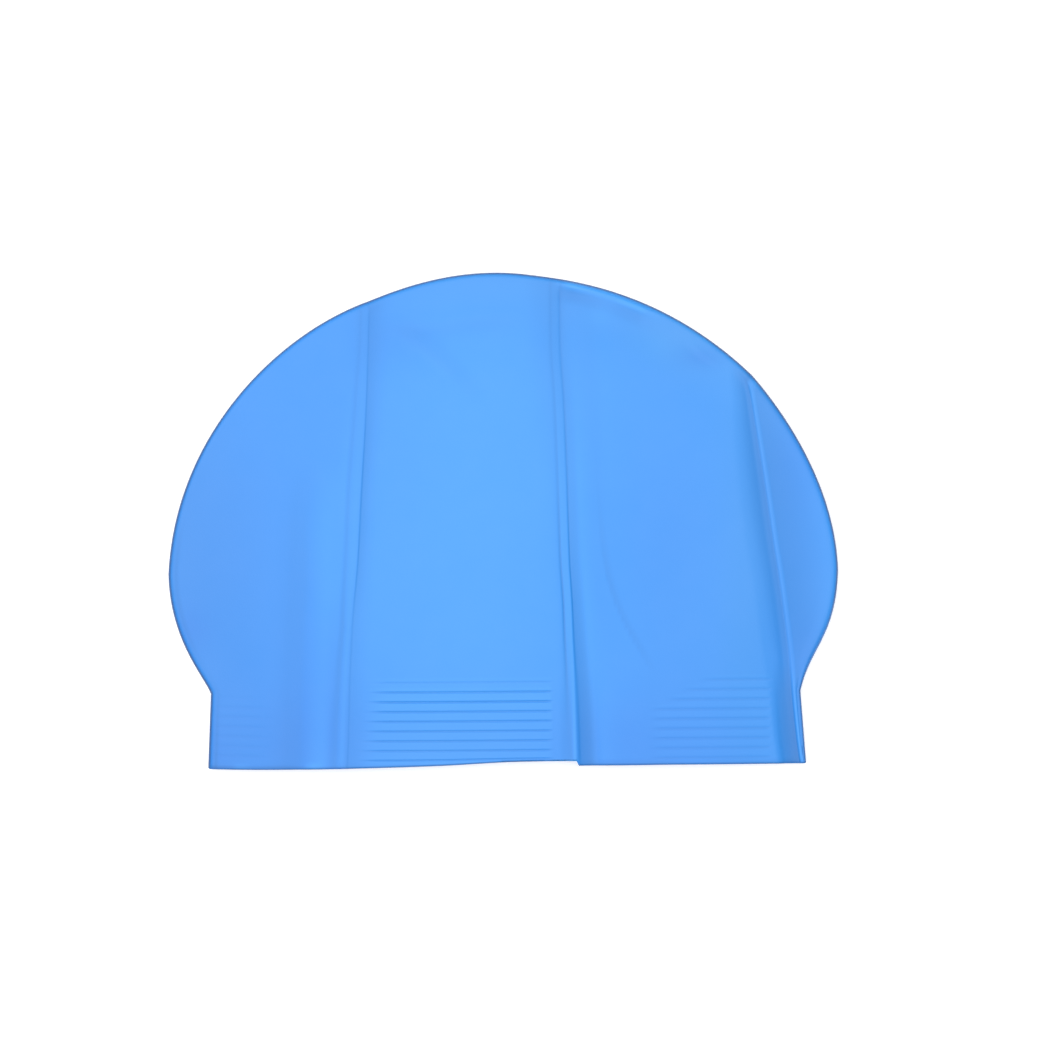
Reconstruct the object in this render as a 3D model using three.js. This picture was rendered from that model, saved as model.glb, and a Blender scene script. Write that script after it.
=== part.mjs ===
import * as THREE from "three";

// Swim cap of moulded rubber, lying flat: one pouch whose upper and lower layers meet in a round
// fold along the outline. It is open at the mouth, has a grip band of fine grooves above the mouth
// edge, and three creases run up its face. Millimetres. +Z is up, the mouth faces -Y and the crown's
// top points to +Y.

// Wall, fold and puff
const WALL = 1.0;
const FOLD_RADIUS = 2.7;
const PUFF_RISE = 4.2; // how far the upper layer stands above the fold, well inside the outline
const PUFF_REACH = 24; // how far inside the outline it gets there
const FADE_START = 0.8; // creases and dents fade out towards the outline between these depths
const FADE_END = 5.0;

// Grip band
const MOUTH_LEVEL = -81.8;
const BAND_HEIGHT = 33;
const GROOVE_PITCH = 3.2;
const GROOVE_COUNT = 9;
const GROOVE_HALF_WIDTH = 0.5;
const GROOVE_DEPTH = 0.4;

// Outline knots, from the left mouth corner over the crown to the right mouth corner. The curve
// reaches a knot at heading `into`, in degrees, and leaves it at `out`, with handles of length `back`
// and `ahead`. A stretch with no handles is straight.
const OUTLINE = [
  { x: -97.3, y: -81.8, into: 0, back: 0, out: 0, ahead: 0 },
  { x: -96.4, y: -57.0, into: 0, back: 0, out: 109.5, ahead: 5.5 },
  { x: -110.4, y: -17.5, into: 91.2, back: 22.1, out: 87.3, ahead: 45.6 },
  { x: -45.0, y: 72.3, into: 20.2, back: 31.9, out: 20.2, ahead: 6.1 },
  { x: 8.0, y: 81.3, into: -7.2, back: 26.0, out: -7.2, ahead: 11.7 },
  { x: 82.2, y: 48.0, into: -44.0, back: 42.1, out: -49.0, ahead: 22.0 },
  { x: 110.5, y: -16.0, into: -88.2, back: 23.9, out: -91.3, ahead: 22.0 },
  { x: 98.1, y: -56.0, into: -102.7, back: 14.9, out: 0, ahead: 0 },
  { x: 100.0, y: -79.9, into: 0, back: 0, out: 0, ahead: 0 },
];
const SIDE_TOP = 25; // y at which the cap's sides hand over to its crown
const OUTLINE_STEPS = 56; // samples to each stretch of the outline

// Mouth edge of the upper and the lower layer. The upper one is lifted towards the middle crease and
// drops back just beyond it. The lower one stays hidden behind it.
const MOUTH_EDGE = [
  { x: -97.3, upper: -81.8, lower: -81.8 },
  { x: -60, upper: -81.6, lower: -81.4 },
  { x: -14, upper: -80.5, lower: -80.2 },
  { x: 2, upper: -79.5, lower: -79.2 },
  { x: 16, upper: -78.9, lower: -78.6 },
  { x: 24.5, upper: -78.8, lower: -78.4 },
  { x: 25.6, upper: -80.4, lower: -78.5 },
  { x: 60, upper: -80.2, lower: -79.5 },
  { x: 100, upper: -79.9, lower: -79.9 },
];

// Creases from left to right. `path` gives the crease line's x at heights y and how strong the
// crease is there. `profile` gives the rise of the upper layer at offsets to the line's right.
const CREASES = [
  {
    path: [
      { y: -82, x: -52.3, size: 0.8 },
      { y: -13, x: -48.6, size: 1.0 },
      { y: 40, x: -45.3, size: 0.9 },
      { y: 74, x: -44.9, size: 0.7 },
    ],
    profile: [
      { offset: -8, rise: 0 },
      { offset: -3.2, rise: 0 },
      { offset: -2.1, rise: -0.3 },
      { offset: -1.0, rise: 0.2 },
      { offset: 0.7, rise: -0.5 },
      { offset: 2.8, rise: -0.35 },
      { offset: 8, rise: 0 },
    ],
  },
  {
    path: [
      { y: -82, x: 24.5, size: 1.3 },
      { y: -13, x: 20.7, size: 0.8 },
      { y: 40, x: 18.1, size: 0.6 },
      { y: 80, x: 18.0, size: 0.6 },
    ],
    profile: [
      { offset: -8, rise: 0 },
      { offset: -3.2, rise: 0 },
      { offset: -2.0, rise: -0.3 },
      { offset: -0.9, rise: 0.3 },
      { offset: -0.1, rise: 0.3 },
      { offset: 0.7, rise: -1.0 },
      { offset: 2.6, rise: -1.4 },
      { offset: 5, rise: -1.1 },
      { offset: 9, rise: -0.25 },
      { offset: 14, rise: 0 },
    ],
  },
  {
    path: [
      { y: -82, x: 96.1, size: 1.0 },
      { y: -39, x: 93.9, size: 1.1 },
      { y: 13, x: 86.0, size: 0.8 },
      { y: 48, x: 81.6, size: 0.3 },
    ],
    profile: [
      { offset: -13, rise: 0 },
      { offset: -7, rise: -0.5 },
      { offset: -3, rise: -1.3 },
      { offset: -0.9, rise: -1.7 },
      { offset: -0.1, rise: 0 },
      { offset: 0.5, rise: 0.5 },
      { offset: 9, rise: 0.2 },
      { offset: 18, rise: 0 },
    ],
  },
];
const FLAP_COLUMNS_FROM = 0.5; // right of this offset the last crease's side is filled as a panel

// The first groove's line across the band. The others follow it, one pitch apart.
const FIRST_GROOVE = [
  { x: -97, y: -76.9 },
  { x: -70, y: -77.5 },
  { x: -45, y: -78.5 },
  { x: 16, y: -78.1 },
  { x: 50, y: -77.5 },
  { x: 100, y: -77.4 },
];

// How deep the grooves are, counted up from the mouth
const GROOVE_FADE = [
  { count: 6, share: 1 },
  { count: 7, share: 0.5 },
  { count: 8, share: 0.3 },
];

// Groups of grooves in the band. A group runs from x `from` to `to`. Its left end moves right by
// `lean` for each groove above number `leanStart`, and its ends fade over `fadeLeft` and `fadeRight`.
const GROOVES = [
  { from: -96, to: -76, lean: 0, leanStart: 0, fadeLeft: 2, fadeRight: 6, depth: 0.3 },
  { from: -46, to: 16.3, lean: 0.9, leanStart: 0, fadeLeft: 6, fadeRight: 0.8, depth: 1 },
  { from: 48, to: 89.5, lean: 10, leanStart: 5, fadeLeft: 5, fadeRight: 1.5, depth: 0.7 },
];

// Soft dents of the upper layer, each a smooth hollow of a half-width across and a half-length along
const DENTS = [
  { x: -66, y: -46, across: 7, along: 40, depth: 0.6 },
  { x: -82, y: 10, across: 16, along: 18, depth: 0.35 },
  { x: -20, y: 56, across: 26, along: 9, depth: 0.35 },
  { x: 42, y: 63, across: 16, along: 7, depth: 0.5 },
  { x: 45, y: -30, across: 20, along: 22, depth: 0.3 },
];

// Mesh fineness
const RIM_STEPS = 3; // rings of the quarter round from the outline to the flat of a layer
const PANEL_COLUMNS = [6, 6, 6, 3]; // columns that fill the panels left, between and right of creases
const CROWN_ROWS = 16;
const LINING_BAND_ROWS = 3;
const LINING_CROWN_ROWS = 10;
const FLAT_HUB_Y = -30; // the point that the lower layer's flat fans out from

const CAP_COLOUR = 0x5ca6fc;
const CAP_ROUGHNESS = 0.42;

// A smooth curve through the rows of a table that never overshoots them
function through(table, inKey, outKey, value) {
  const last = table.length - 1;
  const at = Math.min(Math.max(value, table[0][inKey]), table[last][inKey]);
  let i = 0;
  while (i < last - 1 && table[i + 1][inKey] < at) i += 1;
  const step = (k) => table[k + 1][inKey] - table[k][inKey];
  const grade = (k) => (table[k + 1][outKey] - table[k][outKey]) / step(k);
  const slope = (k) => {
    if (k === 0 || k === last) return 0;
    const before = grade(k - 1);
    const after = grade(k);
    return before * after > 0 ? (2 * before * after) / (before + after) : 0;
  };
  const t = (at - table[i][inKey]) / step(i);
  const ease = t * t * (3 - 2 * t);
  return (
    table[i][outKey] * (1 - ease) +
    table[i + 1][outKey] * ease +
    slope(i) * step(i) * t * (1 - t) ** 2 -
    slope(i + 1) * step(i) * t * t * (1 - t)
  );
}

const smooth = (value, low, high) => THREE.MathUtils.smoothstep(value, low, high);
const blend = THREE.MathUtils.lerp;

// The outline as a row of samples, each with its inward direction. Near the mouth that
// direction is level, so that the fold ends square at the mouth edge.
function sampleOutline() {
  const toward = (degrees, length) => {
    const angle = THREE.MathUtils.degToRad(degrees);
    return new THREE.Vector2(Math.cos(angle), Math.sin(angle)).multiplyScalar(length);
  };
  const points = [];
  for (let i = 0; i + 1 < OUTLINE.length; i += 1) {
    const start = new THREE.Vector2(OUTLINE[i].x, OUTLINE[i].y);
    const end = new THREE.Vector2(OUTLINE[i + 1].x, OUTLINE[i + 1].y);
    const leave = start.clone().add(toward(OUTLINE[i].out, OUTLINE[i].ahead));
    const reach = end.clone().sub(toward(OUTLINE[i + 1].into, OUTLINE[i + 1].back));
    const curve =
      OUTLINE[i].ahead > 0
        ? new THREE.CubicBezierCurve(start, leave, reach, end)
        : new THREE.LineCurve(start, end);
    const samples = curve.getSpacedPoints(OUTLINE_STEPS);
    points.push(...(i === 0 ? samples : samples.slice(1)));
  }
  return points.map((point, i) => {
    const before = points[Math.max(i - 1, 0)];
    const after = points[Math.min(i + 1, points.length - 1)];
    const inward = new THREE.Vector2(after.y - before.y, before.x - after.x).normalize();
    const level = new THREE.Vector2(-Math.sign(point.x), 0);
    const square = 1 - smooth(point.y, MOUTH_LEVEL + 5, MOUTH_LEVEL + BAND_HEIGHT);
    return { x: point.x, y: point.y, inward: inward.lerp(level, square).normalize() };
  });
}

const outline = sampleOutline();

// The point at `depth` inside the outline, at a station counted in samples
function inside(station, depth) {
  const i = Math.min(Math.floor(station), outline.length - 2);
  const t = station - i;
  const x = blend(outline[i].x, outline[i + 1].x, t);
  const y = blend(outline[i].y, outline[i + 1].y, t);
  const inward = outline[i].inward.clone().lerp(outline[i + 1].inward, t).normalize();
  return { x: x + inward.x * depth, y: y + inward.y * depth, station };
}

// The first station from `start` on, stepping by `direction`, where `side(point)` changes sign
function stationWhere(start, direction, depth, side) {
  let here = start;
  let value = side(inside(here, depth));
  while (here + direction >= 0 && here + direction <= outline.length - 1) {
    const next = here + direction;
    const nextValue = side(inside(next, depth));
    if (value * nextValue <= 0) return here + (direction * value) / (value - nextValue || 1);
    here = next;
    value = nextValue;
  }
  return here;
}

// How far a point of the face lies inside the outline
function depthOf(x, y) {
  let nearest = Infinity;
  for (let i = 0; i + 1 < outline.length; i += 1) {
    const a = outline[i];
    const b = outline[i + 1];
    const dx = b.x - a.x;
    const dy = b.y - a.y;
    const along = ((x - a.x) * dx + (y - a.y) * dy) / (dx * dx + dy * dy);
    const t = THREE.MathUtils.clamp(along, 0, 1);
    nearest = Math.min(nearest, Math.hypot(x - a.x - t * dx, y - a.y - t * dy));
  }
  return nearest;
}

const creaseX = (crease, y) => through(crease.path, "y", "x", y);
const mouthY = (x, layer) => through(MOUTH_EDGE, "x", layer, x);

// Line across the band, of a groove at a shift above its middle
function grooveY(x, count, shift) {
  return through(FIRST_GROOVE, "x", "y", x) + count * GROOVE_PITCH + shift;
}

// Line across the band at a share of the way from the mouth edge to the band's top
function bandY(x, share) {
  return blend(mouthY(x, "upper"), MOUTH_LEVEL + BAND_HEIGHT, share);
}

// Half thickness of the rounded fold at a depth inside the outline, for a skin inset into the wall
function foldHalf(depth, inset) {
  const short = Math.max(0, FOLD_RADIUS - depth);
  return Math.sqrt(Math.max(0, (FOLD_RADIUS - inset) ** 2 - short ** 2));
}

// Rise of the upper layer over its fold: puff, creases and dents
function relief(x, y, depth) {
  const puff = PUFF_RISE * (1 - Math.exp(-((depth / PUFF_REACH) ** 2)));
  let marks = 0;
  for (const crease of CREASES) {
    const offset = x - creaseX(crease, y);
    const size = through(crease.path, "y", "size", y);
    marks += size * through(crease.profile, "offset", "rise", offset);
  }
  for (const dent of DENTS) {
    const away = ((x - dent.x) / dent.across) ** 2 + ((y - dent.y) / dent.along) ** 2;
    marks -= dent.depth * Math.exp(-away);
  }
  return puff + marks * smooth(depth, FADE_START, FADE_END);
}

// Depth of a groove at x, for its number counted up from the mouth
function grooveDepth(x, count) {
  let share = 0;
  for (const group of GROOVES) {
    const from = group.from + group.lean * Math.max(0, count - group.leanStart);
    const left = smooth(x, from, from + group.fadeLeft);
    const right = 1 - smooth(x, group.to - group.fadeRight, group.to);
    share += group.depth * left * right;
  }
  return GROOVE_DEPTH * share * through(GROOVE_FADE, "count", "share", count);
}

// Rows of the outer skin's band, three to a groove. Each has its y at x and its depth there.
function groovedRows() {
  const rows = [{ y: (x) => bandY(x, 0), cut: () => 0 }];
  for (let count = 0; count < GROOVE_COUNT; count += 1) {
    rows.push({ y: (x) => grooveY(x, count, -GROOVE_HALF_WIDTH), cut: () => 0 });
    rows.push({ y: (x) => grooveY(x, count, 0), cut: (x) => grooveDepth(x, count) });
    rows.push({ y: (x) => grooveY(x, count, GROOVE_HALF_WIDTH), cut: () => 0 });
  }
  rows.push({ y: (x) => bandY(x, 1), cut: () => 0 });
  return rows;
}

// Rows of the lining's band: plain and even
function plainRows() {
  const rows = [];
  for (let i = 0; i <= LINING_BAND_ROWS; i += 1) {
    rows.push({ y: (x) => bandY(x, i / LINING_BAND_ROWS), cut: () => 0 });
  }
  return rows;
}

// A side column follows the outline from the mouth to where the crown takes over
function sideColumn(sign, bandRows, crownRows) {
  const start = sign < 0 ? 0 : outline.length - 1;
  const direction = sign < 0 ? 1 : -1;
  const cornerX = outline[start].x;
  const stationAt = (y) => stationWhere(start, direction, FOLD_RADIUS, (p) => p.y - y);
  const column = bandRows.map((row) => inside(stationAt(row.y(cornerX)), FOLD_RADIUS));
  const bandEnd = column[column.length - 1].station;
  const crownStart = stationAt(SIDE_TOP);
  for (let i = 1; i <= crownRows; i += 1) {
    column.push(inside(blend(bandEnd, crownStart, i / crownRows), FOLD_RADIUS));
  }
  return column;
}

// A crease column keeps its offset from the crease line up to the fold
function creaseColumn(crease, offset, bandRows, crownRows) {
  const lineX = (y) => creaseX(crease, y) + offset;
  const left = stationWhere(0, 1, FOLD_RADIUS, (p) => p.y - SIDE_TOP);
  const station = stationWhere(Math.ceil(left), 1, FOLD_RADIUS, (p) => p.x - lineX(p.y));
  const top = inside(station, FOLD_RADIUS);
  const column = bandRows.map((row) => {
    const y = row.y(lineX(MOUTH_LEVEL));
    return { x: lineX(y), y };
  });
  const bandEnd = column[column.length - 1];
  for (let i = 1; i < crownRows; i += 1) {
    const y = blend(bandEnd.y, top.y, i / crownRows);
    column.push({ x: lineX(y), y });
  }
  column.push(top);
  return column;
}

// A fill column lies between two neighbours, bowed out to the fold at its top
function fillColumn(before, after, share, bandRows, crownRows) {
  const last = before.length - 1;
  const station = blend(before[last].station, after[last].station, share);
  const top = inside(station, FOLD_RADIUS);
  const bow = {
    x: top.x - blend(before[last].x, after[last].x, share),
    y: top.y - blend(before[last].y, after[last].y, share),
  };
  return before.map((point, i) => {
    const rise = Math.max(0, i + 1 - bandRows.length) / crownRows;
    const x = blend(point.x, after[i].x, share) + bow.x * rise;
    const y = blend(point.y, after[i].y, share) + bow.y * rise;
    if (i === last) return top;
    return i < bandRows.length ? { x, y: bandRows[i].y(x) } : { x, y };
  });
}

// Every column of the face from left to right
function faceColumns(bandRows, crownRows) {
  const guides = [[sideColumn(-1, bandRows, crownRows)]];
  CREASES.forEach((crease, i) => {
    const isLast = i === CREASES.length - 1;
    const rows = crease.profile.filter((row) => !isLast || row.offset <= FLAP_COLUMNS_FROM);
    guides.push(rows.map((row) => creaseColumn(crease, row.offset, bandRows, crownRows)));
  });
  guides.push([sideColumn(1, bandRows, crownRows)]);
  const columns = [...guides[0]];
  PANEL_COLUMNS.forEach((count, panel) => {
    const before = columns[columns.length - 1];
    const after = guides[panel + 1][0];
    for (let i = 1; i <= count; i += 1) {
      const share = i / (count + 1);
      columns.push(fillColumn(before, after, share, bandRows, crownRows));
    }
    columns.push(...guides[panel + 1]);
  });
  return columns;
}

const positions = [];
const triangles = [];

function addPoint(x, y, z) {
  positions.push(x, y, z);
  return positions.length / 3 - 1;
}

function addQuad(a, b, c, d, turned) {
  if (turned) triangles.push(a, c, b, a, d, c);
  else triangles.push(a, b, c, a, c, d);
}

// Closes the flat of the lower layer as a fan about its middle, which sees all of its border
function addFlat(corners, z, turned) {
  const hub = addPoint(0, FLAT_HUB_Y, z);
  corners.forEach((corner, i) => {
    const next = corners[(i + 1) % corners.length];
    if (turned) triangles.push(hub, next, corner);
    else triangles.push(hub, corner, next);
  });
}

// One skin of the pouch: the outer one, or the lining at `inset` inside the wall. It returns its
// edge at the mouth, as a loop over the upper layer and back along the lower one.
function addSkin(inset, bandRows, crownRows) {
  const isLining = inset > 0;
  const columns = faceColumns(bandRows, crownRows);
  const lastColumn = columns.length - 1;
  const lastRow = bandRows.length - 1 + crownRows;
  const upper = columns.map((column) =>
    column.map(({ x, y }, i) => {
      const groove = i < bandRows.length ? bandRows[i].cut(x) : 0;
      const depth = depthOf(x, y);
      const z = FOLD_RADIUS + foldHalf(depth, inset) + relief(x, y, depth) - groove;
      return addPoint(x, y, z);
    }),
  );
  for (let j = 0; j < lastColumn; j += 1) {
    for (let i = 0; i < lastRow; i += 1) {
      addQuad(upper[j][i], upper[j + 1][i], upper[j + 1][i + 1], upper[j][i + 1], isLining);
    }
  }

  // The face's border, up the left side, over the crown and down the right side
  const border = [];
  for (let i = 0; i < lastRow; i += 1) border.push([0, i]);
  for (let j = 0; j < lastColumn; j += 1) border.push([j, lastRow]);
  for (let i = lastRow; i >= 0; i -= 1) border.push([lastColumn, i]);

  // The fold: rings from the outline, shared by both layers, to the border of each layer's flat
  const rim = border.map(([j, i]) => {
    const { station } = columns[j][i];
    const rings = { upper: [], lower: [] };
    for (let k = 0; k <= RIM_STEPS; k += 1) {
      const turn = (0.5 * Math.PI * k) / RIM_STEPS;
      const depth = FOLD_RADIUS - (FOLD_RADIUS - inset) * Math.cos(turn);
      const { x, y } = inside(station, depth);
      const half = (FOLD_RADIUS - inset) * Math.sin(turn);
      const share = relief(x, y, depth) * Math.sin(turn);
      rings.lower.push(addPoint(x, y, FOLD_RADIUS - half));
      const isShared = k === 0 || k === RIM_STEPS;
      const shared = k === 0 ? rings.lower[0] : upper[j][i];
      rings.upper.push(isShared ? shared : addPoint(x, y, FOLD_RADIUS + half + share));
    }
    return rings;
  });
  for (let p = 0; p + 1 < rim.length; p += 1) {
    for (let k = 0; k < RIM_STEPS; k += 1) {
      const here = rim[p];
      const next = rim[p + 1];
      const { upper: a, lower: c } = here;
      const { upper: b, lower: d } = next;
      addQuad(a[k], a[k + 1], b[k + 1], b[k], isLining);
      addQuad(c[k], d[k], d[k + 1], c[k + 1], isLining);
    }
  }

  const lowerMouth = columns.slice(1, lastColumn).map((column) => {
    const { x } = column[0];
    return addPoint(x, mouthY(x, "lower"), inset);
  });
  const flatBorder = rim.map((rings) => rings.lower[RIM_STEPS]);
  addFlat([...flatBorder, ...lowerMouth.slice().reverse()], inset, isLining);

  const upperMouth = upper.slice(1, lastColumn).map((column) => column[0]);
  const leftEnd = rim[0];
  const rightEnd = rim[rim.length - 1];
  return [
    ...leftEnd.upper,
    ...upperMouth,
    ...rightEnd.upper.slice().reverse(),
    ...rightEnd.lower.slice(1),
    ...lowerMouth.reverse(),
    ...leftEnd.lower.slice(1).reverse(),
  ];
}

const outerEdge = addSkin(0, groovedRows(), CROWN_ROWS);
const liningEdge = addSkin(WALL, plainRows(), LINING_CROWN_ROWS);
outerEdge.forEach((point, i) => {
  const next = (i + 1) % outerEdge.length;
  addQuad(point, liningEdge[i], liningEdge[next], outerEdge[next], false);
});

// The origin is on the surface that the cap lies on, under the middle of its outline
const shell = new THREE.BufferGeometry();
shell.setAttribute("position", new THREE.Float32BufferAttribute(positions, 3));
shell.setIndex(triangles);
shell.computeBoundingBox();
const middle = shell.boundingBox.getCenter(new THREE.Vector3());
shell.translate(-middle.x, -middle.y, -shell.boundingBox.min.z);
shell.computeVertexNormals();

const rubber = new THREE.MeshStandardMaterial({
  color: CAP_COLOUR,
  roughness: CAP_ROUGHNESS,
  metalness: 0,
});
const cap = new THREE.Mesh(shell, rubber);
cap.name = "cap";

const swimCap = new THREE.Group();
swimCap.add(cap);

export default swimCap;
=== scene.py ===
import math

import bpy
import numpy as np
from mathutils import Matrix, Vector


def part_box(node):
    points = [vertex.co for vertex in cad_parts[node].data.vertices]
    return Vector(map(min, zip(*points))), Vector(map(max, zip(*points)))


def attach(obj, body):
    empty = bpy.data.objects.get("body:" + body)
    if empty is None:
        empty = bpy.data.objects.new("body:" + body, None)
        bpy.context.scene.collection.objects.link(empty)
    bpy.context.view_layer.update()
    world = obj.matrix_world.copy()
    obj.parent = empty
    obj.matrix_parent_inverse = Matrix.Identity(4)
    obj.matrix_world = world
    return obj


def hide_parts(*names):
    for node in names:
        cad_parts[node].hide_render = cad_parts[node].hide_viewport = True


# A moulded rubber swim cap lying flat on a pale table, seen from straight above. The solid cap gives
# the outline, the fold, the grip band and the three creases. This script dresses it with the same
# pouch at a finer grain: crisp crease lines, soft wrinkles, narrow grooves and a rounded mouth lip.
# Tables are in the cap's own millimetres: +X to the right, +Y to the crown, the mouth at -Y.

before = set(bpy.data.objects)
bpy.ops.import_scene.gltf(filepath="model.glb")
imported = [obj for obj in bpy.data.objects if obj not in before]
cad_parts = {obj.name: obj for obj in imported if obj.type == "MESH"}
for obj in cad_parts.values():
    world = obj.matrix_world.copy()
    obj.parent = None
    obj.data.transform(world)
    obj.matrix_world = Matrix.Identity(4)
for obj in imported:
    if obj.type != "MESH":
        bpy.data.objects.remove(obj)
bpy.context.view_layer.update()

MM = 0.001

# Wall, fold and puff
WALL = 1.0
FOLD_RADIUS = 2.7
FOLD_SQUARE = 2.6  # 2 is a round fold, more is squarer
PUFF_RISE = 4.2
PUFF_REACH = 24.0
FADE_START = 0.8
FADE_END = 5.0
TIGHT_FADE_START = 0.2
TIGHT_FADE_END = 1.4

# Grip band
MOUTH_LEVEL = -81.8
BAND_HEIGHT = 33.0
GROOVE_PITCH = 3.2
GROOVE_COUNT = 9
GROOVE_HALF_WIDTH = 0.42
GROOVE_DEPTH = 0.24
GROOVE_FLOOR = 0.1  # half the flat bottom of a groove
GROOVE_SHADE = 0.42  # painted shade at the bottom of a full groove
LAND_HIGHLIGHT = 0.16  # painted highlight on the lands between full grooves
GROOVE_ROOM = 0.75  # half the strip of finer mesh along each groove
BAND_TOP = 27.6  # the band's top line above the first groove
MOUTH_ROWS = [0.0, 0.3, 0.65]  # rows below the first groove, as shares of the way up to it
LEVEL_HEIGHT = 5.0  # the fold runs in level up to this height over the mouth

OUTLINE = [
    {"x": -97.3, "y": -81.8, "into": 0, "back": 0, "out": 0, "ahead": 0},
    {"x": -96.4, "y": -57.0, "into": 0, "back": 0, "out": 109.5, "ahead": 5.5},
    {"x": -110.4, "y": -17.5, "into": 91.2, "back": 22.1, "out": 87.3, "ahead": 45.6},
    {"x": -45.0, "y": 72.3, "into": 20.2, "back": 31.9, "out": 20.2, "ahead": 6.1},
    {"x": 8.0, "y": 81.3, "into": -7.2, "back": 26.0, "out": -7.2, "ahead": 11.7},
    {"x": 82.2, "y": 48.0, "into": -44.0, "back": 42.1, "out": -49.0, "ahead": 22.0},
    {"x": 110.5, "y": -16.0, "into": -88.2, "back": 23.9, "out": -91.3, "ahead": 22.0},
    {"x": 98.1, "y": -56.0, "into": -102.7, "back": 14.9, "out": 0, "ahead": 0},
    {"x": 100.0, "y": -79.9, "into": 0, "back": 0, "out": 0, "ahead": 0},
]
SIDE_TOP = 25.0
OUTLINE_STEPS = 100
DENSE_STEPS = 500  # points that each stretch's even samples are taken from
FLAP_INSET = 1.1  # how far in the flat's border lies beside the band, where the last fold is tight
FLAP_INSET_END = -56.0
FLAP_INSET_FADE = 10.0
FLAP_SQUEEZE = 12.0  # the lower layer's mouth edge is drawn in over this width to meet its own fold
TIGHT_FADE_REACH = 18.0

MOUTH_EDGE = [
    {"x": -97.3, "upper": -81.8, "lower": -81.8},
    {"x": -85, "upper": -81.9, "lower": -81.9},
    {"x": -60, "upper": -81.6, "lower": -81.4},
    {"x": -40, "upper": -81.1, "lower": -80.9},
    {"x": -20, "upper": -80.4, "lower": -80.2},
    {"x": 4, "upper": -79.1, "lower": -78.9},
    {"x": 14, "upper": -78.9, "lower": -78.9},
    {"x": 18.8, "upper": -78.85, "lower": -79.1},
    {"x": 24.3, "upper": -78.9, "lower": -79.25},
    {"x": 24.9, "upper": -80.4, "lower": -79.3},
    {"x": 60, "upper": -80.0, "lower": -79.5},
    {"x": 100, "upper": -79.9, "lower": -79.9},
]

# Painted highlight on the upper layer's lip beside the step in the mouth edge
LIP_HIGHLIGHT = [
    {"x": 9, "pale": 0},
    {"x": 14, "pale": 0.7},
    {"x": 18, "pale": 1},
    {"x": 24.4, "pale": 1},
    {"x": 25.1, "pale": 0},
]
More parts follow.
